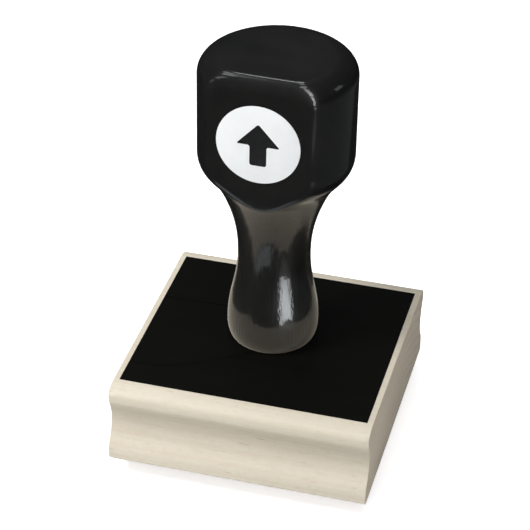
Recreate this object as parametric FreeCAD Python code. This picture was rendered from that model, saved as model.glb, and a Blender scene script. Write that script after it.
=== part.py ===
import FreeCAD, Part
import math
import os

# A hand stamp: a rubber die on a foam cushion, under a moulded maple block that carries a
# black lacquered turned handle. Everything is in millimetres.
# The origin is the centre of the printing face. +Z runs up the handle, X follows the grain of
# the moulding, and -Y is the front, which the handle's flat faces.

Vec = FreeCAD.Vector

# Printing plate: the die, its cushion and the index print all share this outline
plate_length = 76.2
plate_depth = 69.2

# Rubber die
die_relief = 1.2           # height of the raised printing field
die_backing = 1.1          # rubber left behind the field
die_shoulder = 0.8         # how far the field's sloped sides run in

# Cushion and its two adhesive films
tape_thickness = 0.1
cushion_thickness = 3.0

# Maple moulding
end_margin = 1.9           # wood beyond the plate at each sawn end
side_margin = 6.6          # wood beyond the plate at the front and the back
block_thickness = 26.0
foot_round = 1.5
foot_land = 3.4            # top of the upright part of the foot
foot_bend_share = 0.35     # how the foot and the cove share their curve
cove_height = 14.0
cove_inset = 3.6           # how far the cove lies inside the foot
nose_bend_share = 0.37     # how the cove and the nose share their curve
nose_inset = 1.1           # how far the nose lies inside the foot
nose_drop = 3.1            # the nose's widest line, below the top face
nose_round = 2.4
flat_spare = 0.2           # flat wood left round the index print at the front and the back

# Index print on top of the block
index_thickness = 0.15

# Turned handle: radii, with heights above the index print
handle_height = 96.45
handle_offset_x = -0.4     # where the handle stands, from the middle of the block
handle_offset_y = 2.4
handle_turn = -1.5         # degrees about its own axis
seat_radius = 12.0
bulge_radius = 14.0
bulge_height = 5.95
waist_radius = 11.65       # half way from the bulge up to the neck
neck_radius = 11.7
neck_height = 38.45
throat_radius = 14.8
throat_share = 0.4         # the throat's height, as a share of the flare
collar_radius = 19.25
collar_share = 0.7         # the collar's height, as a share of the flare
head_radius = 23.35
head_length = 31.05        # from the top of the flare to the top of the handle
shoulder_width = 6.75
shoulder_height = 5.75
flat_cut = 6.1             # how deep the flat at the front is cut into the head
flat_edge_round = 2.0

# Round badge on the flat
badge_radius = 12.5
badge_thickness = 0.15
badge_shift = -0.6         # off the middle of the flat, along the flat
badge_drop = 20.25         # its centre, below the top of the handle

# Countersunk wood screw, up through the block into the handle
screw_length = 50.0
screw_head_radius = 4.8
screw_shank_radius = 2.5
screw_core_radius = 1.75
screw_thread_pitch = 2.0
screw_point_length = 5.0
screw_sunk = 0.5           # from the block's underside to the head's face
screw_clearance = 0.3      # round the shank, in the block and in the index print
head_clearance = 0.1       # round the head, in its countersink
pilot_clearance = 0.1      # round the screw's core, in the handle
pilot_spare = 2.0          # depth left past the screw's point
recess_width = 1.1
recess_span = 5.0
recess_depth = 2.2

# Heights of the stack, from the printing face up
tape_lower_height = die_relief + die_backing
cushion_height = tape_lower_height + tape_thickness
tape_upper_height = cushion_height + cushion_thickness
block_height = tape_upper_height + tape_thickness
index_height = block_height + block_thickness
seat_height = index_height + index_thickness

block_length = plate_length + 2 * end_margin
foot_depth = plate_depth / 2 + side_margin
flat_distance = head_radius - flat_cut     # from the handle's axis


def slab(length, depth, height, thickness):
    """A flat rectangular piece, centred on the origin, lying at the given height."""
    corner = Vec(-length / 2, -depth / 2, height)
    return Part.makeBox(length, depth, thickness, corner)


def quarter_ellipse(start, end, centre):
    """The quarter of an ellipse from start to end, as an exact rational curve."""
    corner = start + end - centre
    curve = Part.BSplineCurve()
    curve.buildFromPolesMultsKnots(
        [start, corner, end], [3, 3], [0.0, 1.0], False, 2, [1.0, math.sqrt(0.5), 1.0])
    return curve.toShape()


def ogee(start, end, start_share, place):
    """Two tangent arcs from start to end, upright at both. Points are (offset, height), and
    start_share is the first arc's part of the two radii together."""
    across = end[0] - start[0]
    up = end[1] - start[1]
    both_radii = (across * across + up * up) / (2 * abs(across))
    turn = 2 * math.atan2(abs(across), up)
    side = math.copysign(1.0, across)
    radii = [both_radii * start_share, both_radii * (1 - start_share)]
    joint = (start[0] + side * radii[0] * (1 - math.cos(turn)), start[1] + radii[0] * math.sin(turn))
    lower_middle = (start[0] + side * radii[0] * (1 - math.cos(turn / 2)),
                    start[1] + radii[0] * math.sin(turn / 2))
    upper_middle = (end[0] - side * radii[1] * (1 - math.cos(turn / 2)),
                    end[1] - radii[1] * math.sin(turn / 2))
    return [Part.Arc(place(*start), place(*lower_middle), place(*joint)).toShape(),
            Part.Arc(place(*joint), place(*upper_middle), place(*end)).toShape()]


def moulding_side(side):
    """Edges of the moulding's outline on one side, from the middle of the underside to the
    middle of the top. side is 1 for the back and -1 for the front."""
    def place(offset, height):
        return Vec(-block_length / 2, side * offset, block_height + height)

    cove_depth = foot_depth - cove_inset
    nose_depth = foot_depth - nose_inset
    nose_height = block_thickness - nose_drop
    flat_depth = plate_depth / 2 + flat_spare

    # The top of the nose is a small round that runs tangent into a shallow fall from the flat.
    run = nose_depth - nose_round - flat_depth
    spread = run * run + nose_drop * nose_drop - nose_round * nose_round
    fall_radius = spread / (2 * (nose_drop - nose_round))
    lean = math.atan2(run, fall_radius - nose_drop)
    fall_centre = (flat_depth, block_thickness - fall_radius)

    def on_fall(angle):
        return (fall_centre[0] + fall_radius * math.sin(angle),
                fall_centre[1] + fall_radius * math.cos(angle))

    def on_nose(angle):
        return (nose_depth - nose_round + nose_round * math.sin(angle),
                nose_height + nose_round * math.cos(angle))

    edges = [
        Part.makeLine(place(0, 0), place(foot_depth - foot_round, 0)),
        quarter_ellipse(place(foot_depth - foot_round, 0), place(foot_depth, foot_round),
                        place(foot_depth - foot_round, foot_round)),
        Part.makeLine(place(foot_depth, foot_round), place(foot_depth, foot_land)),
    ]
    edges += ogee((foot_depth, foot_land), (cove_depth, cove_height), foot_bend_share, place)
    edges += ogee((cove_depth, cove_height), (nose_depth, nose_height), 1 - nose_bend_share, place)
    edges += [
        Part.Arc(place(nose_depth, nose_height), place(*on_nose((lean + math.pi / 2) / 2)),
                 place(*on_nose(lean))).toShape(),
        Part.Arc(place(*on_nose(lean)), place(*on_fall(lean / 2)), place(*on_fall(0))).toShape(),
        Part.makeLine(place(flat_depth, block_thickness), place(0, block_thickness)),
    ]
    return edges


def make_mount_block():
    """The sawn length of moulding, drilled and countersunk from below for the handle's screw."""
    outline = Part.Wire(Part.sortEdges(moulding_side(1) + moulding_side(-1))[0])
    block = Part.Face(outline).extrude(Vec(block_length, 0, 0))
    bore = Part.makeCylinder(screw_shank_radius + screw_clearance, block_thickness,
                             Vec(handle_offset_x, handle_offset_y, block_height))
    head_bore_radius = screw_head_radius + head_clearance
    mouth = Part.makeCylinder(head_bore_radius, screw_sunk,
                              Vec(handle_offset_x, handle_offset_y, block_height))
    sink = Part.makeCone(head_bore_radius, 0, head_bore_radius,
                         Vec(handle_offset_x, handle_offset_y, block_height + screw_sunk))
    return block.cut([bore, mouth, sink]).removeSplitter()


def make_index_print():
    """The thin printed film on top of the block, pierced for the screw."""
    film = slab(plate_length, plate_depth, index_height, index_thickness)
    bore = Part.makeCylinder(screw_shank_radius + screw_clearance, index_thickness,
                             Vec(handle_offset_x, handle_offset_y, index_height))
    return film.cut(bore)


def on_handle(shape):
    """Moves a shape from the handle's own frame to where the handle stands."""
    turn = FreeCAD.Rotation(Vec(0, 0, 1), handle_turn)
    shape.Placement = FreeCAD.Placement(Vec(handle_offset_x, handle_offset_y, seat_height), turn)
    return shape


def handle_outline():
    """Half of the turned outline, as a closed face in the XZ plane."""
    flare_height = handle_height - head_length
    flare = flare_height - neck_height
    stations = [
        Vec(bulge_radius, 0, bulge_height),
        Vec(waist_radius, 0, (bulge_height + neck_height) / 2),
        Vec(neck_radius, 0, neck_height),
        Vec(throat_radius, 0, neck_height + throat_share * flare),
        Vec(collar_radius, 0, neck_height + collar_share * flare),
        Vec(head_radius, 0, flare_height),
    ]
    turned = Part.BSplineCurve()
    turned.interpolate(Points=stations, InitialTangent=Vec(0, 0, 1), FinalTangent=Vec(0, 0, 1))
    shoulder_base = Vec(head_radius, 0, handle_height - shoulder_height)
    shoulder_top = Vec(head_radius - shoulder_width, 0, handle_height)
    edges = [
        Part.makeLine(Vec(0, 0, 0), Vec(seat_radius, 0, 0)),
        quarter_ellipse(Vec(seat_radius, 0, 0), stations[0], Vec(seat_radius, 0, bulge_height)),
        turned.toShape(),
        Part.makeLine(stations[-1], shoulder_base),
        quarter_ellipse(shoulder_base, shoulder_top, Vec(shoulder_top.x, 0, shoulder_base.z)),
        Part.makeLine(shoulder_top, Vec(0, 0, handle_height)),
        Part.makeLine(Vec(0, 0, handle_height), Vec(0, 0, 0)),
    ]
    return Part.Face(Part.Wire(edges))


def make_handle():
    """The turned handle, with the flat on the front of its head and the screw's pilot hole."""
    turned = handle_outline().revolve(Vec(0, 0, 0), Vec(0, 0, 1), 360)
    across = 2 * head_radius
    front = Part.makeBox(across, across, handle_height, Vec(-head_radius, -flat_distance - across, 0))
    handle = turned.cut(front)
    flat = min(handle.Faces, key=lambda face: abs(face.CenterOfMass.y + flat_distance))
    handle = handle.makeFillet(flat_edge_round, flat.Edges)
    bite = screw_sunk + screw_length - (seat_height - block_height)
    pilot = Part.makeCylinder(screw_core_radius + pilot_clearance, bite + pilot_spare)
    return on_handle(handle.cut(pilot))


def make_badge():
    """The round badge that is stuck on the handle's flat."""
    centre = Vec(badge_shift, -flat_distance, handle_height - badge_drop)
    return on_handle(Part.makeCylinder(badge_radius, badge_thickness, centre, Vec(0, -1, 0)))


def make_handle_screw():
    """The wood screw, head down: a countersunk head with a cross recess, a plain shank through
    the block, and a thread drawn as rings up to the point."""
    shank_length = seat_height - block_height - screw_sunk
    head_height = screw_head_radius - screw_shank_radius
    thread_top = screw_length - screw_point_length
    points = [Vec(0, 0, 0), Vec(screw_head_radius, 0, 0), Vec(screw_shank_radius, 0, head_height)]
    points.append(Vec(screw_shank_radius, 0, shank_length))
    height = shank_length
    while height + screw_thread_pitch < thread_top:
        points.append(Vec(screw_core_radius, 0, height + screw_thread_pitch / 2))
        points.append(Vec(screw_shank_radius, 0, height + screw_thread_pitch))
        height += screw_thread_pitch
    points += [Vec(screw_core_radius, 0, thread_top), Vec(0, 0, screw_length), Vec(0, 0, 0)]
    screw = Part.Face(Part.makePolygon(points)).revolve(Vec(0, 0, 0), Vec(0, 0, 1), 360)
    long_slot = Part.makeBox(recess_span, recess_width, recess_depth,
                             Vec(-recess_span / 2, -recess_width / 2, 0))
    cross_slot = Part.makeBox(recess_width, recess_span, recess_depth,
                              Vec(-recess_width / 2, -recess_span / 2, 0))
    screw = screw.cut(long_slot.fuse(cross_slot))
    screw.translate(Vec(handle_offset_x, handle_offset_y, block_height + screw_sunk))
    return screw


def make_rubber_die():
    """The moulded rubber: a backing with a raised field whose sides slope in to the print face."""
    backing = slab(plate_length, plate_depth, die_relief, die_backing)

    def rim(inset, height):
        x = plate_length / 2 - inset
        y = plate_depth / 2 - inset
        corners = [Vec(-x, -y, height), Vec(x, -y, height), Vec(x, y, height), Vec(-x, y, height)]
        return Part.makePolygon(corners + corners[:1])

    field = Part.makeLoft([rim(die_shoulder, 0), rim(0, die_relief)], True, True)
    return backing.fuse(field).removeSplitter()


parts = {
    "rubber_die": make_rubber_die(),
    "cushion_tape_lower": slab(plate_length, plate_depth, tape_lower_height, tape_thickness),
    "foam_cushion": slab(plate_length, plate_depth, cushion_height, cushion_thickness),
    "cushion_tape_upper": slab(plate_length, plate_depth, tape_upper_height, tape_thickness),
    "mount_block": make_mount_block(),
    "index_print": make_index_print(),
    "handle": make_handle(),
    "handle_screw": make_handle_screw(),
    "badge": make_badge(),
}

os.makedirs("parts", exist_ok=True)
for name, shape in parts.items():
    if not shape.isValid() or len(shape.Solids) != 1:
        raise RuntimeError(name + " is not one valid solid")
    shape.exportStep("parts/" + name + ".step")
    print(name, round(shape.Volume, 1), "mm3")
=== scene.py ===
import math

import bmesh
import bpy
from mathutils import Matrix, Vector
from mathutils.geometry import interpolate_bezier


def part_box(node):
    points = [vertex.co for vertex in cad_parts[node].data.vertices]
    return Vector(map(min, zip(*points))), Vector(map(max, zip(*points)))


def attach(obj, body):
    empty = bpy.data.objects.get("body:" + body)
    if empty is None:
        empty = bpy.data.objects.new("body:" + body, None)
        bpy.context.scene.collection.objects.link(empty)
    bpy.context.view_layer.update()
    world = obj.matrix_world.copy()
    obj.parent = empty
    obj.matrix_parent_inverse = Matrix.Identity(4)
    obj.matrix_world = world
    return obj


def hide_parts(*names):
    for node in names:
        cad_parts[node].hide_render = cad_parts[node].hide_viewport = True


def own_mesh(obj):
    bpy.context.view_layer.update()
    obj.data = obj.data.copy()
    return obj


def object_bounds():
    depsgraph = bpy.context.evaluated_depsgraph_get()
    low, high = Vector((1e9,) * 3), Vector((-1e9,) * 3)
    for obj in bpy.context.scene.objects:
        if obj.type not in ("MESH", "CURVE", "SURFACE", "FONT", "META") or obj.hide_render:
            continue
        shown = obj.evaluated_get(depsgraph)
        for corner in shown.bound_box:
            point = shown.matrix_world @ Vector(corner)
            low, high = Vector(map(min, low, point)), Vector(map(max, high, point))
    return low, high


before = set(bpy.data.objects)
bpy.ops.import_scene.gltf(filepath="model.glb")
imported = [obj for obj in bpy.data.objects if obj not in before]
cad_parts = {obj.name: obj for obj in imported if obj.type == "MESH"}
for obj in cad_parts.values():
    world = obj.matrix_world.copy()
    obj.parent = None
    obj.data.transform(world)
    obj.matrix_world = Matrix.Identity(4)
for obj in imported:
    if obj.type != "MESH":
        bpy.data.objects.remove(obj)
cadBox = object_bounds()
mm = 0.001

blockLow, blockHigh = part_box("mount_block")
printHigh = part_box("index_print")[1]
screwLow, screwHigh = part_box("handle_screw")
foamLow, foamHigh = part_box("foam_cushion")
dieLow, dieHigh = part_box("rubber_die")
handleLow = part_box("handle")[0]
print("frame loaded:", len(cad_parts), "CAD nodes")

# where the handle stands, and how it is turned about its own axis
handlePlace = {
    "x": (screwLow.x + screwHigh.x) / 2,
    "y": (screwLow.y + screwHigh.y) / 2,
    "z": handleLow.z,
    "turn": math.radians(-1.5),
}


def onHandle():
    spot = Vector((handlePlace["x"], handlePlace["y"], handlePlace["z"]))
    return Matrix.Translation(spot) @ Matrix.Rotation(handlePlace["turn"], 4, "Z")


# node helpers

def wire(tree, socket, value):
    if isinstance(value, bpy.types.NodeSocket):
        tree.links.new(value, socket)
    else:
        socket.default_value = value


def put(tree, kind, inputs=None, **settings):
    made = tree.nodes.new(kind)
    for name, value in settings.items():
        setattr(made, name, value)
    for name, value in (inputs or {}).items():
        wire(tree, made.inputs[name], value)
    return made


def sums(tree, operation, *values):
    return put(tree, "ShaderNodeMath", dict(enumerate(values)), operation=operation).outputs[0]


def noise(tree, vector, scale, detail=3.0, roughness=0.5):
    made = put(tree, "ShaderNodeTexNoise", {
        "Vector": vector, "Scale": scale, "Detail": detail, "Roughness": roughness})
    return made.outputs[0]


def remap(tree, value, low, high, toLow=0.0, toHigh=1.0):
    made = put(tree, "ShaderNodeMapRange", {
        "Value": value, "From Min": low, "From Max": high, "To Min": toLow, "To Max": toHigh})
    return made.outputs[0]


def mixColour(tree, factor, first, second, blend="MIX"):
    made = put(tree, "ShaderNodeMix", {0: factor, 6: first, 7: second}, data_type="RGBA", blend_type=blend)
    return made.outputs[2]


def placed(tree, vector, location=(0, 0, 0), scale=(1, 1, 1), rotation=(0, 0, 0)):
    made = put(tree, "ShaderNodeMapping", {
        "Vector": vector, "Location": location, "Scale": scale, "Rotation": rotation})
    return made.outputs[0]


def objectPlace(tree):
    return put(tree, "ShaderNodeTexCoord").outputs["Object"]


def axesOf(tree, vector):
    return put(tree, "ShaderNodeSeparateXYZ", {0: vector}).outputs


def share(tree, mask, amount):
    return sums(tree, "MULTIPLY", mask, amount)


def bump(tree, height, strength, distance, normal=None):
    inputs = {"Height": height, "Strength": strength, "Distance": distance}
    if normal is not None:
        inputs["Normal"] = normal
    return put(tree, "ShaderNodeBump", inputs).outputs[0]


def newMaterial(name):
    made = bpy.data.materials.new(name)
    made.use_nodes = True
    tree = made.node_tree
    return made, tree, tree.nodes["Principled BSDF"]


def newGroup(name, inputs, outputs):
    tree = bpy.data.node_groups.new(name, "ShaderNodeTree")
    for label, kind, value in inputs:
        socket = tree.interface.new_socket(name=label, in_out="INPUT", socket_type=kind)
        if value is not None:
            socket.default_value = value
    for label, kind in outputs:
        tree.interface.new_socket(name=label, in_out="OUTPUT", socket_type=kind)
    start = tree.nodes.new("NodeGroupInput")
    end = tree.nodes.new("NodeGroupOutput")
    return tree, start.outputs, end.inputs


def useGroup(tree, group, inputs):
    made = tree.nodes.new("ShaderNodeGroup")
    made.node_tree = group
    for name, value in inputs.items():
        wire(tree, made.inputs[name], value)
    return made.outputs


# solid wood with the grain along X: growth rings about a far pith, fibres and short flecks
def makeWoodFigure():
    tree, given, result = newGroup(
        "woodFigure",
        [("Vector", "NodeSocketVector", None), ("Ring Scale", "NodeSocketFloat", 95.0),
         ("Fibre Scale", "NodeSocketFloat", 1900.0)],
        [("Rings", "NodeSocketFloat"), ("Fibres", "NodeSocketFloat"),
         ("Flecks", "NodeSocketFloat"), ("Clouds", "NodeSocketFloat")])
    long = placed(tree, given["Vector"], scale=(0.055, 1.0, 1.0))
    wave = put(tree, "ShaderNodeTexWave", {
        "Vector": long, "Scale": given["Ring Scale"], "Distortion": 5.0, "Detail": 2.0,
        "Detail Scale": 0.35, "Detail Roughness": 0.5},
        wave_type="RINGS", rings_direction="X", wave_profile="SIN")
    rings = remap(tree, wave.outputs[1], 0.45, 1.0)
    wire(tree, result["Rings"], rings)
    fine = placed(tree, given["Vector"], scale=(0.03, 1.0, 1.0))
    fibres = noise(tree, fine, given["Fibre Scale"], detail=3.0, roughness=0.65)
    wire(tree, result["Fibres"], remap(tree, fibres, 0.32, 0.68))
    dash = placed(tree, given["Vector"], scale=(0.16, 1.0, 1.0))
    fleck = noise(tree, dash, 1500.0, detail=1.0, roughness=0.4)
    patch = noise(tree, given["Vector"], 130.0, detail=1.0)
    fleckMask = sums(tree, "MULTIPLY", remap(tree, fleck, 0.66, 0.74), remap(tree, patch, 0.42, 0.62))
    wire(tree, result["Flecks"], fleckMask)
    slow = placed(tree, given["Vector"], scale=(0.25, 1.0, 1.0))
    wire(tree, result["Clouds"], remap(tree, noise(tree, slow, 85.0, detail=3.0), 0.3, 0.7))
    return tree


# small signs of handling: soft blotches, fine grain and rare specks
def makeSurfaceWear():
    tree, given, result = newGroup(
        "surfaceWear",
        [("Vector", "NodeSocketVector", None), ("Blotch Scale", "NodeSocketFloat", 90.0),
         ("Grain Scale", "NodeSocketFloat", 2600.0)],
        [("Blotches", "NodeSocketFloat"), ("Grain", "NodeSocketFloat"), ("Specks", "NodeSocketFloat")])
    blotches = noise(tree, given["Vector"], given["Blotch Scale"], detail=4.0)
    wire(tree, result["Blotches"], remap(tree, blotches, 0.3, 0.7))
    wire(tree, result["Grain"], noise(tree, given["Vector"], given["Grain Scale"], detail=2.0))
    specks = noise(tree, given["Vector"], 1400.0, detail=1.0)
    wire(tree, result["Specks"], remap(tree, specks, 0.72, 0.78))
    return tree


woodFigure = makeWoodFigure()
surfaceWear = makeSurfaceWear()

mapleLook = {
    "pale": (0.735, 0.685, 0.585, 1),
    "ring": (0.665, 0.595, 0.475, 1),
    "fibre": (0.62, 0.545, 0.425, 1),
    "fleck": (0.44, 0.34, 0.24, 1),
    "endPale": (0.60, 0.535, 0.435, 1),
    "endDark": (0.46, 0.395, 0.30, 1),
    # painted shade: this tint darkens the hollow under the nose
    "coveShade": (0.80, 0.79, 0.78, 1),
    "coveTop": (0.0268, 0.0240),     # heights between which the shade of the cove fades in
    "coveFoot": (0.0110, 0.0215),    # and out again
    "mottle": 0.30,
    "pith": (0.0, 0.012, 0.085),
}

inkLook = {
    "ink": (0.0024, 0.0024, 0.0020, 1),
    "thin": (0.0040, 0.0040, 0.0034, 1),
    "line": (0.0004, 0.0004, 0.0003, 1),
    "lines": [(0.0108, 0.0, 0.0), (-0.0248, 0.66, -0.025)],   # dark growth lines: y, slope, x of the bend
    "lineEdge": (0.00042, 0.00012),
    "lineEnd": (0.004, -0.004),      # the lines fade out between these x
    "wander": 0.0012,
    "paintedReflectionHalfLength": 0.037,         # the part of the top that mirror rays see painted as pale wood: a painted reflection
    "paintedReflectionFront": -0.0365,
    "paintedReflectionCorner": 0.060,
    "paintedReflectionEdge": 0.0006,
    "grainPlace": (0.3, 0.02, 0.06),
}


# painted reflection: the mask outside the part of the top that mirror rays see as pale wood
def outsidePaintedReflection(tree, axes):
    soft = inkLook["paintedReflectionEdge"]
    edge = inkLook["paintedReflectionHalfLength"]
    front = inkLook["paintedReflectionFront"]
    corner = inkLook["paintedReflectionCorner"]
    sideways = remap(tree, sums(tree, "ABSOLUTE", axes[0]), edge - soft, edge + soft)
    forward = remap(tree, axes[1], front + soft, front - soft)
    cornered = remap(tree, sums(tree, "SUBTRACT", axes[0], axes[1]), corner - soft, corner + soft)
    return sums(tree, "MAXIMUM", sums(tree, "MAXIMUM", sideways, forward), cornered)


def mapleColour(tree, place):
    figure = useGroup(tree, woodFigure, {"Vector": placed(tree, place, location=mapleLook["pith"])})
    colour = mixColour(tree, share(tree, figure["Rings"], 0.36), mapleLook["pale"], mapleLook["ring"])
    colour = mixColour(tree, share(tree, figure["Fibres"], 0.42), colour, mapleLook["fibre"])
    colour = mixColour(tree, share(tree, figure["Clouds"], 0.14), colour, mapleLook["ring"])
    mottle = noise(tree, placed(tree, place, scale=(0.45, 1.0, 1.0)), 950.0, detail=2.0, roughness=0.6)
    mottled = remap(tree, mottle, 0.45, 0.68, 0.0, mapleLook["mottle"])
    colour = mixColour(tree, mottled, colour, mapleLook["fibre"])
    colour = mixColour(tree, share(tree, figure["Flecks"], 0.42), colour, mapleLook["fleck"])
    return colour, figure


def makeMaple():
    made, tree, shader = newMaterial("maple")
    place = objectPlace(tree)
    colour, figure = mapleColour(tree, place)
    axes = axesOf(tree, place)
    # painted shade: the hollow under the nose is painted darker, where the nose's overhang shades it
    fadeTop = remap(tree, axes[2], *mapleLook["coveTop"])
    fadeFoot = remap(tree, axes[2], *mapleLook["coveFoot"])
    paintedCoveShade = share(tree, fadeTop, fadeFoot)
    colour = mixColour(tree, paintedCoveShade, colour, mapleLook["coveShade"], "MULTIPLY")
    # painted reflection: outside that part of the top, mirror rays see the block painted as dark as the ink
    path = put(tree, "ShaderNodeLightPath")
    paintedDarkReflection = sums(tree, "MULTIPLY", path.outputs["Is Glossy Ray"], outsidePaintedReflection(tree, axes))
    wire(tree, shader.inputs["Base Color"], mixColour(tree, paintedDarkReflection, colour, inkLook["ink"]))
    wire(tree, shader.inputs["Roughness"], remap(tree, figure["Fibres"], 0.0, 1.0, 0.50, 0.66))
    shader.inputs["Specular IOR Level"].default_value = 0.32
    height = sums(tree, "ADD", figure["Fibres"], share(tree, figure["Rings"], 0.4))
    wire(tree, shader.inputs["Normal"], bump(tree, height, 0.22, 0.00006))
    return made


def makeMapleEnd():
    made, tree, shader = newMaterial("mapleEnd")
    place = objectPlace(tree)
    figure = useGroup(tree, woodFigure, {"Vector": placed(tree, place, location=mapleLook["pith"])})
    wear = useGroup(tree, surfaceWear, {"Vector": place, "Blotch Scale": 60.0, "Grain Scale": 3200.0})
    pores = remap(tree, wear["Grain"], 0.56, 0.66)
    colour = mixColour(tree, share(tree, figure["Rings"], 0.35), mapleLook["endPale"], mapleLook["endDark"])
    colour = mixColour(tree, share(tree, pores, 0.30), colour, mapleLook["endDark"])
    colour = mixColour(tree, share(tree, wear["Blotches"], 0.22), colour, mapleLook["endDark"])
    saw = placed(tree, place, scale=(1.0, 1.0, 0.03), rotation=(math.radians(4), 0, 0))
    sawMarks = noise(tree, saw, 1600.0, detail=2.0)
    colour = mixColour(tree, remap(tree, sawMarks, 0.52, 0.68, 0.0, 0.16), colour, mapleLook["endDark"])
    wire(tree, shader.inputs["Base Color"], colour)
    wire(tree, shader.inputs["Roughness"], remap(tree, wear["Grain"], 0.3, 0.7, 0.68, 0.84))
    shader.inputs["Specular IOR Level"].default_value = 0.2
    height = sums(tree, "ADD", wear["Grain"], share(tree, sawMarks, 1.3))
    wire(tree, shader.inputs["Normal"], bump(tree, height, 0.3, 0.00008))
    return made


lacquerLook = {
    "black": (0.0082, 0.0086, 0.0086, 1),
    "worn": (0.0125, 0.0125, 0.0120, 1),
    "ripple": 0.5,
    "headShare": 0.12,           # the head is polished smoother than the neck
    "headStart": (0.080, 0.098),
    "orangePeel": 0.08,
}


def makeLacquer():
    made, tree, shader = newMaterial("blackLacquer")
    place = objectPlace(tree)
    wear = useGroup(tree, surfaceWear, {"Vector": place, "Blotch Scale": 70.0, "Grain Scale": 2200.0})
    colour = mixColour(tree, wear["Blotches"], lacquerLook["black"], lacquerLook["worn"])
    wire(tree, shader.inputs["Base Color"], colour)
    wire(tree, shader.inputs["Roughness"], remap(tree, wear["Blotches"], 0.0, 1.0, 0.30, 0.38))
    shader.inputs["Specular IOR Level"].default_value = 0.18
    wire(tree, shader.inputs["Coat Weight"], remap(tree, wear["Blotches"], 0.0, 1.0, 0.86, 0.80))
    shader.inputs["Coat Roughness"].default_value = 0.05
    # brushed lacquer lies in fine runs down the turned neck, with an orange peel on top
    runs = noise(tree, placed(tree, place, scale=(1.0, 1.0, 0.14)), 1300.0, detail=2.0, roughness=0.6)
    height = axesOf(tree, place)[2]
    runs = share(tree, runs, remap(tree, height, *lacquerLook["headStart"], 1.0, lacquerLook["headShare"]))
    peel = noise(tree, place, 900.0, detail=1.0)
    rippled = bump(tree, runs, lacquerLook["ripple"], 0.00016)
    for socket in ("Coat Normal", "Normal"):
        wire(tree, shader.inputs[socket], bump(tree, peel, lacquerLook["orangePeel"], 0.00008, rippled))
    return made


def makeBadgeVinyl():
    made, tree, shader = newMaterial("badgeVinyl")
    place = objectPlace(tree)
    wear = useGroup(tree, surfaceWear, {"Vector": place, "Blotch Scale": 160.0, "Grain Scale": 3800.0})
    clean = (0.90, 0.93, 0.95, 1)
    greyed = (0.82, 0.85, 0.87, 1)
    colour = mixColour(tree, share(tree, wear["Blotches"], 0.5), clean, greyed)
    wire(tree, shader.inputs["Base Color"], colour)
    wire(tree, shader.inputs["Roughness"], remap(tree, wear["Grain"], 0.3, 0.7, 0.34, 0.46))
    wire(tree, shader.inputs["Normal"], bump(tree, wear["Grain"], 0.12, 0.00004))
    return made


def makeMarkInk():
    made, tree, shader = newMaterial("markInk")
    place = objectPlace(tree)
    wear = useGroup(tree, surfaceWear, {"Vector": place, "Blotch Scale": 300.0, "Grain Scale": 4000.0})
    colour = mixColour(tree, wear["Blotches"], (0.006, 0.006, 0.007, 1), (0.012, 0.012, 0.013, 1))
    wire(tree, shader.inputs["Base Color"], colour)
    wire(tree, shader.inputs["Roughness"], remap(tree, wear["Grain"], 0.3, 0.7, 0.45, 0.6))
    wire(tree, shader.inputs["Normal"], bump(tree, wear["Grain"], 0.1, 0.00003))
    return made


def makeIndexInk():
    made, tree, shader = newMaterial("indexInk")
    place = objectPlace(tree)
    grain = placed(tree, place, location=inkLook["grainPlace"])
    figure = useGroup(tree, woodFigure, {"Vector": grain, "Fibre Scale": 1500.0})
    ink = mixColour(tree, figure["Fibres"], inkLook["ink"], inkLook["thin"])
    ink = mixColour(tree, share(tree, figure["Clouds"], 0.4), ink, inkLook["thin"])
    axes = axesOf(tree, place)
    waves = noise(tree, placed(tree, place, scale=(0.3, 1, 1)), 120.0, detail=2.0)
    wander = sums(tree, "MULTIPLY_ADD", waves, 2 * inkLook["wander"], -inkLook["wander"])
    for level, slope, bend in inkLook["lines"]:
        rising = sums(tree, "SMOOTH_MAX", sums(tree, "SUBTRACT", axes[0], bend), 0.0, 0.008)
        line = sums(tree, "ADD", sums(tree, "MULTIPLY_ADD", rising, slope, level), wander)
        gap = sums(tree, "ABSOLUTE", sums(tree, "SUBTRACT", axes[1], line))
        near = remap(tree, gap, *inkLook["lineEdge"], 0.0, 0.9)
        ends = remap(tree, axes[0], *inkLook["lineEnd"])
        ink = mixColour(tree, share(tree, near, ends), ink, inkLook["line"])
    # painted reflection: to mirror rays, the print's middle is painted the maple's pale colour instead of its
    # ink
    paintedReflectionColour = mixColour(tree, outsidePaintedReflection(tree, axes), mapleColour(tree, place)[0], ink)
    path = put(tree, "ShaderNodeLightPath")
    wire(tree, shader.inputs["Base Color"], mixColour(tree, path.outputs["Is Glossy Ray"], ink, paintedReflectionColour))
    wire(tree, shader.inputs["Roughness"], remap(tree, figure["Fibres"], 0.0, 1.0, 0.62, 0.74))
    shader.inputs["Specular IOR Level"].default_value = 0.10
    wire(tree, shader.inputs["Normal"], bump(tree, figure["Fibres"], 0.3, 0.00005))
    return made


def makeGreyFoam():
    made, tree, shader = newMaterial("greyFoam")
    place = objectPlace(tree)
    wear = useGroup(tree, surfaceWear, {"Vector": place, "Blotch Scale": 120.0})
    cells = put(tree, "ShaderNodeTexVoronoi", {"Vector": place, "Scale": 1500.0})
    pores = remap(tree, cells.outputs["Distance"], 0.15, 0.55)
    colour = mixColour(tree, pores, (0.055, 0.056, 0.058, 1), (0.165, 0.168, 0.172, 1))
    colour = mixColour(tree, share(tree, wear["Blotches"], 0.3), colour, (0.21, 0.21, 0.21, 1))
    wire(tree, shader.inputs["Base Color"], colour)
    wire(tree, shader.inputs["Roughness"], remap(tree, pores, 0.0, 1.0, 0.95, 0.82))
    shader.inputs["Specular IOR Level"].default_value = 0.15
    wire(tree, shader.inputs["Normal"], bump(tree, pores, 0.7, 0.0003))
    return made


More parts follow.
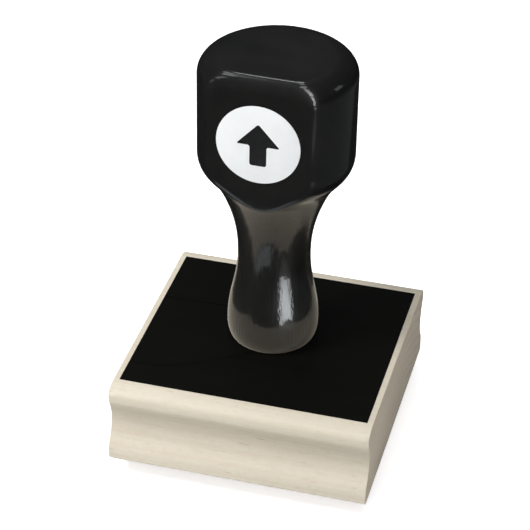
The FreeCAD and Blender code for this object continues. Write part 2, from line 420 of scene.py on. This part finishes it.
def makeDieRubber():
    made, tree, shader = newMaterial("dieRubber")
    place = objectPlace(tree)
    wear = useGroup(tree, surfaceWear, {"Vector": place, "Blotch Scale": 55.0, "Grain Scale": 3000.0})
    clean = (0.190, 0.050, 0.040, 1)
    dusty = (0.270, 0.110, 0.090, 1)
    colour = mixColour(tree, share(tree, wear["Blotches"], 0.35), clean, dusty)
    colour = mixColour(tree, share(tree, wear["Specks"], 0.5), colour, (0.34, 0.17, 0.14, 1))
    figure = useGroup(tree, woodFigure, {"Vector": placed(tree, place, location=inkLook["grainPlace"])})
    wire(tree, shader.inputs["Base Color"], colour)
    wire(tree, shader.inputs["Roughness"], remap(tree, wear["Grain"], 0.3, 0.7, 0.55, 0.72))
    shader.inputs["Specular IOR Level"].default_value = 0.35
    grainy = bump(tree, figure["Rings"], 0.5, 0.00025)
    wire(tree, shader.inputs["Normal"], bump(tree, wear["Grain"], 0.25, 0.00006, grainy))
    return made


def makeAdhesiveFilm():
    made, tree, shader = newMaterial("adhesiveFilm")
    place = objectPlace(tree)
    wear = useGroup(tree, surfaceWear, {"Vector": place, "Blotch Scale": 200.0, "Grain Scale": 2500.0})
    colour = mixColour(tree, wear["Blotches"], (0.62, 0.58, 0.47, 1), (0.50, 0.46, 0.36, 1))
    wire(tree, shader.inputs["Base Color"], colour)
    wire(tree, shader.inputs["Roughness"], remap(tree, wear["Grain"], 0.3, 0.7, 0.25, 0.4))
    wire(tree, shader.inputs["Normal"], bump(tree, wear["Grain"], 0.2, 0.00004))
    return made


def makeZincSteel():
    made, tree, shader = newMaterial("zincSteel")
    place = objectPlace(tree)
    wear = useGroup(tree, surfaceWear, {"Vector": place, "Blotch Scale": 600.0, "Grain Scale": 4200.0})
    colour = mixColour(tree, wear["Blotches"], (0.62, 0.63, 0.66, 1), (0.46, 0.47, 0.50, 1))
    wire(tree, shader.inputs["Base Color"], colour)
    shader.inputs["Metallic"].default_value = 1.0
    wire(tree, shader.inputs["Roughness"], remap(tree, wear["Blotches"], 0.0, 1.0, 0.26, 0.42))
    wire(tree, shader.inputs["Normal"], bump(tree, wear["Grain"], 0.15, 0.00005))
    return made


maple = makeMaple()
mapleEnd = makeMapleEnd()
blackLacquer = makeLacquer()
badgeVinyl = makeBadgeVinyl()
markInk = makeMarkInk()
indexInk = makeIndexInk()
greyFoam = makeGreyFoam()
dieRubber = makeDieRubber()
adhesiveFilm = makeAdhesiveFilm()
zincSteel = makeZincSteel()
print("materials made")


# mesh helpers

def finishMesh(bm, name, materials, sharpAngle=35.0):
    bmesh.ops.remove_doubles(bm, verts=bm.verts, dist=0.000002)
    bmesh.ops.recalc_face_normals(bm, faces=bm.faces)
    mesh = bpy.data.meshes.new(name)
    bm.to_mesh(mesh)
    bm.free()
    for face in mesh.polygons:
        face.use_smooth = True
    mesh.set_sharp_from_angle(angle=math.radians(sharpAngle))
    for material in materials:
        mesh.materials.append(material)
    piece = bpy.data.objects.new(name, mesh)
    bpy.context.scene.collection.objects.link(piece)
    return piece


def applyModifiers(piece):
    bpy.context.view_layer.update()
    shaped = piece.evaluated_get(bpy.context.evaluated_depsgraph_get())
    mesh = bpy.data.meshes.new_from_object(shaped)
    piece.modifiers.clear()
    piece.data = mesh


def vertsOf(geom):
    return [item for item in geom if isinstance(item, bmesh.types.BMVert)]


def lineTo(bm, vert, place):
    made = bmesh.ops.extrude_vert_indiv(bm, verts=[vert])["verts"][0]
    made.co = place
    return made


def arcTo(bm, vert, centre, angle, steps, axis=(1, 0, 0)):
    swung = bmesh.ops.spin(bm, geom=[vert], cent=centre, axis=axis, dvec=(0, 0, 0), angle=angle, steps=steps)
    return vertsOf(swung["geom_last"])[0]


# the maple moulding, in mm
blockShape = {
    "footRound": 1.5,
    "footLand": 3.4,
    "footShare": 0.35,
    "coveHeight": 14.0,
    "coveInset": 3.6,
    "noseShare": 0.37,
    "noseInset": 1.1,
    "noseDrop": 3.1,
    "noseRound": 2.4,
    "flatSpare": 0.2,
    "endEase": 0.3,
    "boreRadius": 2.8,
    "sinkRadius": 4.9,
    "sinkMouth": 0.5,
    "drillLead": 1.0,      # how far below the block the drill starts
}


def ogeeTo(bm, vert, end, startShare, steps):
    start = vert.co.copy()
    across = end.y - start.y
    up = end.z - start.z
    bothRadii = (across * across + up * up) / (2 * abs(across))
    turn = 2 * math.atan2(abs(across), up)
    side = math.copysign(1.0, across)
    first = bothRadii * startShare
    second = bothRadii - first
    vert = arcTo(bm, vert, start + Vector((0, side * first, 0)), -side * turn, steps)
    return arcTo(bm, vert, end - Vector((0, side * second, 0)), side * turn, steps)


def makeBlock():
    shape = blockShape
    x = blockLow.x
    bottom = blockLow.z
    foot = blockHigh.y
    thick = blockHigh.z - blockLow.z

    def at(offset, height):
        return Vector((x, offset, bottom + height))

    coveDepth = foot - shape["coveInset"] * mm
    noseDepth = foot - shape["noseInset"] * mm
    noseRound = shape["noseRound"] * mm
    noseDrop = shape["noseDrop"] * mm
    noseHeight = thick - noseDrop
    flatDepth = printHigh.y + shape["flatSpare"] * mm
    run = noseDepth - noseRound - flatDepth
    fallRadius = (run * run + noseDrop * noseDrop - noseRound * noseRound) / (2 * (noseDrop - noseRound))
    lean = math.atan2(run, fallRadius - noseDrop)
    footRound = shape["footRound"] * mm

    bm = bmesh.new()
    vert = bm.verts.new(at(0, 0))
    vert = lineTo(bm, vert, at(foot - footRound, 0))
    vert = arcTo(bm, vert, at(foot - footRound, footRound), math.pi / 2, 8)
    vert = lineTo(bm, vert, at(foot, shape["footLand"] * mm))
    vert = ogeeTo(bm, vert, at(coveDepth, shape["coveHeight"] * mm), shape["footShare"], 12)
    vert = ogeeTo(bm, vert, at(noseDepth, noseHeight), 1 - shape["noseShare"], 12)
    vert = arcTo(bm, vert, at(noseDepth - noseRound, noseHeight), math.pi / 2 - lean, 14)
    vert = arcTo(bm, vert, at(flatDepth, thick - fallRadius), lean, 12)
    lineTo(bm, vert, at(0, thick))
    bmesh.ops.mirror(bm, geom=bm.verts[:] + bm.edges[:], axis="Y", merge_dist=0.000001)
    bmesh.ops.remove_doubles(bm, verts=bm.verts, dist=0.000001)
    startEdges = bm.edges[:]
    swept = bmesh.ops.extrude_edge_only(bm, edges=startEdges)["geom"]
    endVerts = vertsOf(swept)
    endEdges = [item for item in swept if isinstance(item, bmesh.types.BMEdge)]
    endEdges = [edge for edge in endEdges if all(vert in endVerts for vert in edge.verts)]
    bmesh.ops.translate(bm, verts=endVerts, vec=(blockHigh.x - blockLow.x, 0, 0))
    startCap = bmesh.ops.contextual_create(bm, geom=startEdges)["faces"]
    endCap = bmesh.ops.contextual_create(bm, geom=endEdges)["faces"]
    for face in startCap + endCap:
        face.material_index = 1
    bmesh.ops.recalc_face_normals(bm, faces=bm.faces)
    rims = list({edge for face in startCap + endCap for edge in face.edges})
    bmesh.ops.bevel(bm, geom=rims, offset=shape["endEase"] * mm, offset_type="OFFSET",
                    affect="EDGES", segments=3, profile=0.5, material=-1, clamp_overlap=False)
    block = finishMesh(bm, "mapleBlock", [maple, mapleEnd])

    # the screw's bore and its countersink
    bm = bmesh.new()
    drill = bmesh.ops.create_circle(bm, cap_ends=True, segments=48, radius=shape["sinkRadius"] * mm)["verts"]
    start = bottom - shape["drillLead"] * mm
    bmesh.ops.translate(bm, verts=drill, vec=(handlePlace["x"], handlePlace["y"], start))
    heights = [(shape["sinkRadius"], shape["drillLead"] + shape["sinkMouth"]),
               (shape["boreRadius"], shape["sinkRadius"] - shape["boreRadius"]),
               (shape["boreRadius"], thick / mm)]
    face = bm.faces[:][0]
    radius = shape["sinkRadius"]
    for nextRadius, rise in heights:
        grown = bmesh.ops.extrude_face_region(bm, geom=[face])["geom"]
        ringVerts = vertsOf(grown)
        face = [item for item in grown if isinstance(item, bmesh.types.BMFace)][0]
        bmesh.ops.translate(bm, verts=ringVerts, vec=(0, 0, rise * mm))
        centre = Matrix.Translation((-handlePlace["x"], -handlePlace["y"], 0))
        bmesh.ops.scale(bm, verts=ringVerts, vec=(nextRadius / radius, nextRadius / radius, 1), space=centre)
        radius = nextRadius
    cutter = finishMesh(bm, "drill", [mapleEnd])
    bore = block.modifiers.new("bore", "BOOLEAN")
    bore.object = cutter
    bore.operation = "DIFFERENCE"
    bore.solver = "EXACT"
    applyModifiers(block)
    bpy.data.objects.remove(cutter)
    block.data.set_sharp_from_angle(angle=math.radians(35))
    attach(block, "mount")
    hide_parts("mount_block")
    return block


block = makeBlock()
print("maple block made:", len(block.data.polygons), "faces")

# the turned handle, in mm
handleShape = {
    "seatRadius": 12.0,
    # each run: its knot, two curve handles and the next knot as (radius, height), then its steps
    "outline": [
        ((14.0, 5.95), (14.0, 12.524), (12.448, 17.035), (11.65, 22.2), 30),
        ((11.65, 22.2), (10.86, 27.312), (10.81, 33.065), (11.7, 38.45), 28),
        ((11.7, 38.45), (12.315, 42.167), (13.377, 45.708), (14.8, 49.23), 24),
        ((14.8, 49.23), (15.971, 52.128), (17.385, 55.012), (19.25, 57.315), 24),
        ((19.25, 57.315), (21.082, 59.577), (23.35, 61.279), (23.35, 65.4), 26),
    ],
    "headRadius": 23.35,
    "height": 96.45,
    "shoulderWidth": 6.75,
    "shoulderHeight": 5.75,
    "flatDistance": 17.25,
    "pilotRadius": 1.85,
    "pilotDepth": 26.35,
    "seatSteps": 11,
    "sideSteps": 34,
    "shoulderSteps": 30,
    "rollSteps": 26,       # close rings on the top, where the flat's upper edge rolls over
    "rollReach": 3.9,
    "topRings": (11.5, 9.5, 7.0, 4.5, 2.2, 0.0),
    "backArc": 196,        # degrees of the back, which is spun coarsely
    "backSteps": 88,
    "frontSteps": 216,
    "flatAbove": 45.0,
    "flatEdgeRound": 4.0,
    "lowerEdgeRound": 2.0,
    "lowerTilt": 0.35,     # how far the surface faces down where the lower rounding is reached
    "sideEase": 1.2,       # how far in from the head's side the flat turns fully plane
    "topEase": 3.0,
    "sandAbove": 66.0,
    "sandings": 30,        # passes that soften the flat's rolled edges
    "plane": 0.9995,       # a surface that faces forward more than this is the plane flat
}


def handleProfile():
    shape = handleShape
    pilot = shape["pilotRadius"]
    points = [(0.0, shape["pilotDepth"]), (pilot, shape["pilotDepth"]), (pilot, 0.0), (5.0, 0.0), (9.0, 0.0)]
    bulge = shape["outline"][0][0]
    reach = bulge[0] - shape["seatRadius"]
    for step in range(shape["seatSteps"]):       # quarter ellipse from the seat up to the bulge
        turn = math.pi / 2 * step / shape["seatSteps"]
        points.append((shape["seatRadius"] + reach * math.sin(turn), bulge[1] * (1 - math.cos(turn))))
    for start, leave, arrive, end, count in shape["outline"]:
        flat = [Vector((point[0], point[1])) for point in (start, leave, arrive, end)]
        curve = interpolate_bezier(flat[0], flat[1], flat[2], flat[3], count + 1)
        points += [(point.x, point.y) for point in curve[:-1]]
    top = shape["height"]
    shoulderBase = top - shape["shoulderHeight"]
    headBase = shape["outline"][-1][3][1]
    for step in range(shape["sideSteps"]):
        rise = (shoulderBase - headBase) * step / shape["sideSteps"]
        points.append((shape["headRadius"], headBase + rise))
    inner = shape["headRadius"] - shape["shoulderWidth"]
    for step in range(shape["shoulderSteps"] + 1):
        turn = math.pi / 2 * step / shape["shoulderSteps"]
        radius = inner + shape["shoulderWidth"] * math.cos(turn)
        points.append((radius, shoulderBase + shape["shoulderHeight"] * math.sin(turn)))
    for step in range(1, shape["rollSteps"] + 1):
        points.append((inner - shape["rollReach"] * step / shape["rollSteps"], top))
    points += [(radius, top) for radius in shape["topRings"]]
    return points


def nearFlat(vert):
    shape = handleShape
    ahead = vert.co.y < (shape["flatEdgeRound"] - shape["flatDistance"]) * mm
    return ahead and vert.co.z > shape["sandAbove"] * mm


def makeHandle():
    shape = handleShape
    bm = bmesh.new()
    points = handleProfile()
    vert = bm.verts.new((0, points[0][0] * mm, points[0][1] * mm))
    for radius, height in points[1:]:
        vert = lineTo(bm, vert, Vector((0, radius * mm, height * mm)))
    outline = bm.verts[:] + bm.edges[:]
    # the front, where the flat is, is spun finely
    backArc = math.radians(shape["backArc"])
    bmesh.ops.rotate(bm, verts=bm.verts, cent=(0, 0, 0), matrix=Matrix.Rotation(-backArc / 2, 3, "Z"))
    swung = bmesh.ops.spin(bm, geom=outline, cent=(0, 0, 0), axis=(0, 0, 1), dvec=(0, 0, 0),
                           angle=backArc, steps=shape["backSteps"])
    bmesh.ops.spin(bm, geom=swung["geom_last"], cent=(0, 0, 0), axis=(0, 0, 1), dvec=(0, 0, 0),
                   angle=2 * math.pi - backArc, steps=shape["frontSteps"])
    bmesh.ops.remove_doubles(bm, verts=bm.verts, dist=0.000003)

    # press the front of the head back onto the flat, rolling its edges over as if by a ball inside
    bmesh.ops.recalc_face_normals(bm, faces=bm.faces)
    bm.normal_update()
    forward = Vector((0, -1, 0))
    for vert in bm.verts:
        normal = vert.normal.copy()
        lower = min(max(-normal.z / shape["lowerTilt"], 0), 1)
        ball = (shape["flatEdgeRound"] + (shape["lowerEdgeRound"] - shape["flatEdgeRound"]) * lower) * mm
        inside = shape["flatDistance"] * mm - ball
        centre = vert.co - normal * ball
        past = -centre.y - inside
        if vert.co.z < shape["flatAbove"] * mm or past <= 0:
            continue
        centre.y = -inside
        ease = shape["sideEase"] + (shape["topEase"] - shape["sideEase"]) * max(normal.z, 0) ** 2
        turned = min(past / (ease * mm), 1.0)
        vert.co = centre + normal.slerp(forward, turned) * ball
    # the rolled edge turns sharply, so it gets a finer mesh and is sanded smooth
    bm.normal_update()
    rolling = {vert for vert in bm.verts if nearFlat(vert) and vert.normal.y > -shape["plane"]}
    rolled = [edge for edge in bm.edges if rolling.issuperset(edge.verts)]
    bmesh.ops.subdivide_edges(bm, edges=rolled, cuts=1, use_grid_fill=True)
    sanded = [vert for vert in bm.verts if nearFlat(vert)]
    for sanding in range(shape["sandings"]):
        bmesh.ops.smooth_vert(bm, verts=sanded, factor=0.5, use_axis_x=True, use_axis_y=True, use_axis_z=True)
    bmesh.ops.transform(bm, matrix=onHandle(), verts=bm.verts)
    handle = finishMesh(bm, "turnedHandle", [blackLacquer], 50.0)
    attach(handle, "mount")
    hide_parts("handle")
    return handle


handle = makeHandle()
print("handle made:", len(handle.data.polygons), "faces")

# the round badge on the flat, and the plain arrow printed on it, in mm
badgeShape = {
    "radius": 12.5,
    "thickness": 0.15,
    "shift": -0.6,
    "drop": 20.25,
    "rimEase": 0.06,
    "arrowHeight": 13.6,
    "arrowWidth": 13.0,
    "shaftWidth": 5.0,
    "headShare": 0.52,
    "corner": 0.7,
    "inkThickness": 0.03,
}


def onBadge(lift):
    front = handleShape["flatDistance"] + lift
    centre = Vector((badgeShape["shift"], -front, handleShape["height"] - badgeShape["drop"]))
    return onHandle() @ Matrix.Translation(centre * mm) @ Matrix.Rotation(math.pi / 2, 4, "X")


def makeBadge():
    shape = badgeShape
    bm = bmesh.new()
    bmesh.ops.create_circle(bm, cap_ends=True, segments=128, radius=shape["radius"] * mm)
    front = bmesh.ops.extrude_face_region(bm, geom=bm.faces[:])["geom"]
    raised = vertsOf(front)
    bmesh.ops.translate(bm, verts=raised, vec=(0, 0, shape["thickness"] * mm))
    rim = [edge for edge in bm.edges if all(vert in raised for vert in edge.verts)]
    bmesh.ops.bevel(bm, geom=rim, offset=shape["rimEase"] * mm, offset_type="OFFSET", affect="EDGES",
                    segments=3, profile=0.5, material=-1)
    bmesh.ops.transform(bm, matrix=onBadge(0), verts=bm.verts)
    badge = finishMesh(bm, "badgeDisc", [badgeVinyl])
    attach(badge, "mount")
    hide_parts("badge")
    return badge


def makeArrow():
    shape = badgeShape
    half = shape["arrowHeight"] / 2
    neck = half - shape["arrowHeight"] * shape["headShare"]
    wide = shape["arrowWidth"] / 2
    shaft = shape["shaftWidth"] / 2
    corners = [(-shaft, -half), (shaft, -half), (shaft, neck), (wide, neck)]
    corners += [(0, half), (-wide, neck), (-shaft, neck)]
    bm = bmesh.new()
    verts = [bm.verts.new((x * mm, y * mm, 0)) for x, y in corners]
    bm.faces.new(verts)
    bmesh.ops.bevel(bm, geom=bm.verts[:], offset=shape["corner"] * mm, offset_type="OFFSET",
                    affect="VERTICES", segments=5, profile=0.5, material=-1)
    front = bmesh.ops.extrude_face_region(bm, geom=bm.faces[:])["geom"]
    raised = vertsOf(front)
    bmesh.ops.translate(bm, verts=raised, vec=(0, 0, shape["inkThickness"] * mm))
    bmesh.ops.transform(bm, matrix=onBadge(shape["thickness"]), verts=bm.verts)
    arrow = finishMesh(bm, "arrowMark", [markInk])
    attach(arrow, "mount")
    return arrow


makeBadge()
makeArrow()
print("badge and arrow made")

# the foam cushion and the rubber die, in mm
stackShape = {
    "foamCorner": 1.2,
    "foamBulge": 0.22,
    "dieShoulder": 0.8,
    "dieRelief": 1.2,
    "dieCorner": 0.5,
    "dieEase": 0.08,
}


def slabVerts(bm, low, high):
    verts = bmesh.ops.create_cube(bm, size=1.0)["verts"]
    bmesh.ops.scale(bm, verts=verts, vec=high - low)
    bmesh.ops.translate(bm, verts=verts, vec=(low + high) / 2)
    return verts


def uprightEdges(bm):
    return [edge for edge in bm.edges if abs(edge.verts[0].co.z - edge.verts[1].co.z) > 0.0005]


def makeFoam():
    shape = stackShape
    bm = bmesh.new()
    slabVerts(bm, foamLow, foamHigh)
    bmesh.ops.bevel(bm, geom=uprightEdges(bm), offset=shape["foamCorner"] * mm, offset_type="OFFSET",
                    affect="EDGES", segments=6, profile=0.5, material=-1)
    bmesh.ops.subdivide_edges(bm, edges=uprightEdges(bm), cuts=9, use_grid_fill=True)
    middle = (foamLow.z + foamHigh.z) / 2
    half = (foamHigh.z - foamLow.z) / 2
    centre = (foamLow + foamHigh) / 2
    for vert in bm.verts:
        side = 1 - ((vert.co.z - middle) / half) ** 2
        swell = shape["foamBulge"] * mm * side
        vert.co.x += math.copysign(swell, vert.co.x - centre.x)
        vert.co.y += math.copysign(swell, vert.co.y - centre.y)
    foam = finishMesh(bm, "foamPad", [greyFoam])
    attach(foam, "mount")
    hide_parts("foam_cushion")
    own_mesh(foam)
    return foam


def makeDie():
    shape = stackShape
    bm = bmesh.new()
    slabVerts(bm, dieLow + Vector((0, 0, shape["dieRelief"] * mm)), dieHigh)
    bmesh.ops.bevel(bm, geom=uprightEdges(bm), offset=shape["dieCorner"] * mm, offset_type="OFFSET",
                    affect="EDGES", segments=4, profile=0.5, material=-1)
    bm.faces.ensure_lookup_table()
    under = min(bm.faces, key=lambda face: face.calc_center_median().z)
    grown = bmesh.ops.extrude_face_region(bm, geom=[under])["geom"]
    field = vertsOf(grown)
    bmesh.ops.translate(bm, verts=field, vec=(0, 0, -shape["dieRelief"] * mm))
    size = dieHigh - dieLow
    shrink = 2 * shape["dieShoulder"] * mm
    bmesh.ops.scale(bm, verts=field, vec=(1 - shrink / size.x, 1 - shrink / size.y, 1))
    rim = [edge for edge in bm.edges if all(vert in field for vert in edge.verts)]
    bmesh.ops.bevel(bm, geom=rim, offset=shape["dieEase"] * mm, offset_type="OFFSET", affect="EDGES",
                    segments=2, profile=0.5, material=-1)
    die = finishMesh(bm, "rubberDie", [dieRubber])
    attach(die, "die")
    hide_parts("rubber_die")
    return die


makeFoam()
makeDie()
print("foam and die made")

# the CAD's own thin films and the hidden screw keep their shape and get a finish
nodeFinishes = {
    "index_print": indexInk,
    "cushion_tape_upper": adhesiveFilm,
    "cushion_tape_lower": adhesiveFilm,
    "handle_screw": zincSteel,
}
for name, material in nodeFinishes.items():
    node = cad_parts[name]
    node.data.materials.clear()
    node.data.materials.append(material)

# floor, lights and world
stage = {
    "floorSize": 6.0,
    "floorDrop": 0.00015,
    "floorTone": (0.93, 0.93, 0.93, 1),
    "floorMottle": (0.90, 0.90, 0.90, 1),
    "floorMirrorTone": (0.012, 0.012, 0.012, 1),
    "floorGlow": 0.64,
    "skyFill": 0.27,
    "skyMirror": (0.020, 0.021, 0.022, 1),
}


def makeFloor():
    bm = bmesh.new()
    bmesh.ops.create_grid(bm, x_segments=4, y_segments=4, size=stage["floorSize"] / 2)
    bmesh.ops.translate(bm, verts=bm.verts, vec=(0, 0, cadBox[0][2] - stage["floorDrop"]))
    made, tree, shader = newMaterial("paleFloor")
    path = put(tree, "ShaderNodeLightPath")
    place = objectPlace(tree)
    paper = mixColour(tree, noise(tree, place, 300.0), stage["floorTone"], stage["floorMottle"])
    # painted reflection: mirror rays see the floor painted nearly black
    paper = mixColour(tree, path.outputs["Is Glossy Ray"], paper, stage["floorMirrorTone"])
    wire(tree, shader.inputs["Base Color"], paper)
    shader.inputs["Roughness"].default_value = 0.9
    shader.inputs["Specular IOR Level"].default_value = 0.0
    shader.inputs["Emission Color"].default_value = (1, 1, 1, 1)
    glow = share(tree, path.outputs["Is Camera Ray"], stage["floorGlow"])
    wire(tree, shader.inputs["Emission Strength"], glow)
    floor = finishMesh(bm, "floor", [made])
    return floor


def makeWorld():
    world = bpy.data.worlds.new("studio")
    bpy.context.scene.world = world
    world.use_nodes = True
    tree = world.node_tree
    path = put(tree, "ShaderNodeLightPath")
    fill = stage["skyFill"]
    seen = mixColour(tree, path.outputs["Is Camera Ray"], (fill, fill, fill, 1), (1, 1, 1, 1))
    seen = mixColour(tree, path.outputs["Is Glossy Ray"], seen, stage["skyMirror"])
    wire(tree, tree.nodes["Background"].inputs["Color"], seen)


# (name, place, aim, width, height, watts, colour) of the lamps that light the stamp
lightLamps = [
    ("key", (-0.62, -0.36, 0.96), (0, 0, 0.05), 0.26, 0.26, 7.2, (1.0, 0.985, 0.96)),
    ("overhead", (-0.08, -0.12, 1.5), (0, 0, 0), 1.6, 1.6, 10.9, (1.0, 0.99, 0.975)),
    ("front", (-0.55, -1.35, 0.55), (0, 0, 0.05), 1.0, 0.8, 4.3, (1.0, 0.99, 0.97)),
]

# (name, place, width, height, watts, colour) of cards that lie face up and show in the gloss
floorCards = [
    ("rightFloor", (0.42, -0.08, 0.002), 0.60, 0.80, 0.12, (0.92, 1.0, 1.0)),
    ("leftCard", (-0.034, -0.066, 0.002), 0.080, 0.048, 0.010, (0.85, 0.94, 1.0)),
    ("edgeFar", (0.135, -0.235, 0.002), 0.05, 0.06, 0.022, (0.95, 0.98, 1.0)),
    ("edgeNear", (0.10, -0.186, 0.002), 0.05, 0.024, 0.0016, (0.95, 0.98, 1.0)),
]

# the same for panels round the head, which draw the bright line along the flat's rolled edge
coolLeft = (0.97, 0.99, 1.0)
coolRight = (0.96, 0.98, 1.0)
headPanels = [
    ("rimBack", (-0.184, 0.628, 0.861), 0.15, 0.14, 0.30, coolLeft),
    ("rimBackLeft", (-0.345, 0.405, 0.957), 0.13, 0.24, 0.32, coolLeft),
    ("rimLeftTop", (-0.38, 0.12, 1.04), 0.26, 0.24, 0.62, coolLeft),
    ("rimLeft", (-0.565, -0.328, 0.887), 0.20, 0.34, 0.40, coolLeft),
    ("rimLeftLow", (-0.797, -0.46, 0.517), 0.16, 0.30, 0.13, coolLeft),
    ("rimBackRight", (-0.098, 0.408, 1.018), 0.09, 0.22, 0.20, coolRight),
    ("rimTop", (0.0, -0.06, 1.11), 0.16, 0.36, 0.62, coolRight),
    ("rimFrontTop", (0.152, -0.43, 1.02), 0.18, 0.34, 1.0, coolRight),
    ("rimFrontHigh", (0.28, -0.67, 0.82), 0.20, 0.34, 1.7, coolRight),
    ("rimFront", (0.37, -0.87, 0.48), 0.16, 0.36, 1.55, coolRight),
    ("rimFrontLow", (0.20, -0.42, 0.115), 0.075, 0.20, 0.30, coolRight),
    ("shoulderPanel", (0.84, 0.355, 0.545), 0.22, 0.22, 0.14, (0.93, 0.99, 1.0)),
]
headMiddle = (0, 0, 0.13)


def addLamp(name, place, aim, width, height, watts, colour, mirrorOnly=False, spread=180):
    data = bpy.data.lights.new(name, "AREA")
    data.shape = "RECTANGLE"
    data.size = width
    data.size_y = height
    data.energy = watts
    data.color = colour
    data.spread = math.radians(spread)
    lamp = bpy.data.objects.new(name, data)
    bpy.context.scene.collection.objects.link(lamp)
    ahead = Vector(aim) - Vector(place)
    lamp.rotation_euler = ahead.to_track_quat("-Z", "Y").to_euler()
    lamp.location = place
    lamp.visible_camera = False
    lamp.visible_diffuse = not mirrorOnly
    lamp.visible_glossy = mirrorOnly


makeFloor()
makeWorld()
for settings in lightLamps:
    addLamp(*settings)
# its narrow spread keeps this card's glint on the foot, and off the head
addLamp("rightCard", (0.072, -0.069, 0.0218), (0, 0, 0.0218), 0.050, 0.0225, 0.0093, (0.95, 0.98, 1.0),
        mirrorOnly=True, spread=80)
for name, place, *settings in floorCards:
    addLamp(name, place, (place[0], place[1], 1.0), *settings, mirrorOnly=True)
for name, place, *settings in headPanels:
    addLamp(name, place, headMiddle, *settings, mirrorOnly=True)
print("stage made:", len(bpy.data.lights), "lamps")

# the camera: angles in degrees, lengths in mm
cameraShape = {
    "azimuth": 14.4522,
    "elevation": 33.8347,
    "roll": 1.0582,
    "aim": (-12.1154, 36.9155, 31.65),
    "distance": 669.3515,
    "lens": 139.785,
    "sensor": 36,
}


def makeCamera():
    shape = cameraShape
    azimuth = math.radians(shape["azimuth"])
    elevation = math.radians(shape["elevation"])
    level = math.cos(elevation)
    back = Vector((math.sin(azimuth) * level, -math.cos(azimuth) * level, math.sin(elevation)))
    right = (-back).cross(Vector((0, 0, 1))).normalized()
    up = right.cross(-back)
    facing = Matrix((right, up, back)).transposed()
    roll = Matrix.Rotation(math.radians(shape["roll"]), 3, "Z")
    data = bpy.data.cameras.new("camera")
    data.sensor_width = shape["sensor"]
    data.lens = shape["lens"]
    data.clip_start = 0.01
    camera = bpy.data.objects.new("camera", data)
    bpy.context.scene.collection.objects.link(camera)
    spot = (Vector(shape["aim"]) + back * shape["distance"]) * mm
    camera.matrix_world = Matrix.Translation(spot) @ (facing @ roll).to_4x4()
    bpy.context.scene.camera = camera


makeCamera()
bpy.context.scene.view_settings.view_transform = "Standard"
print("camera placed")
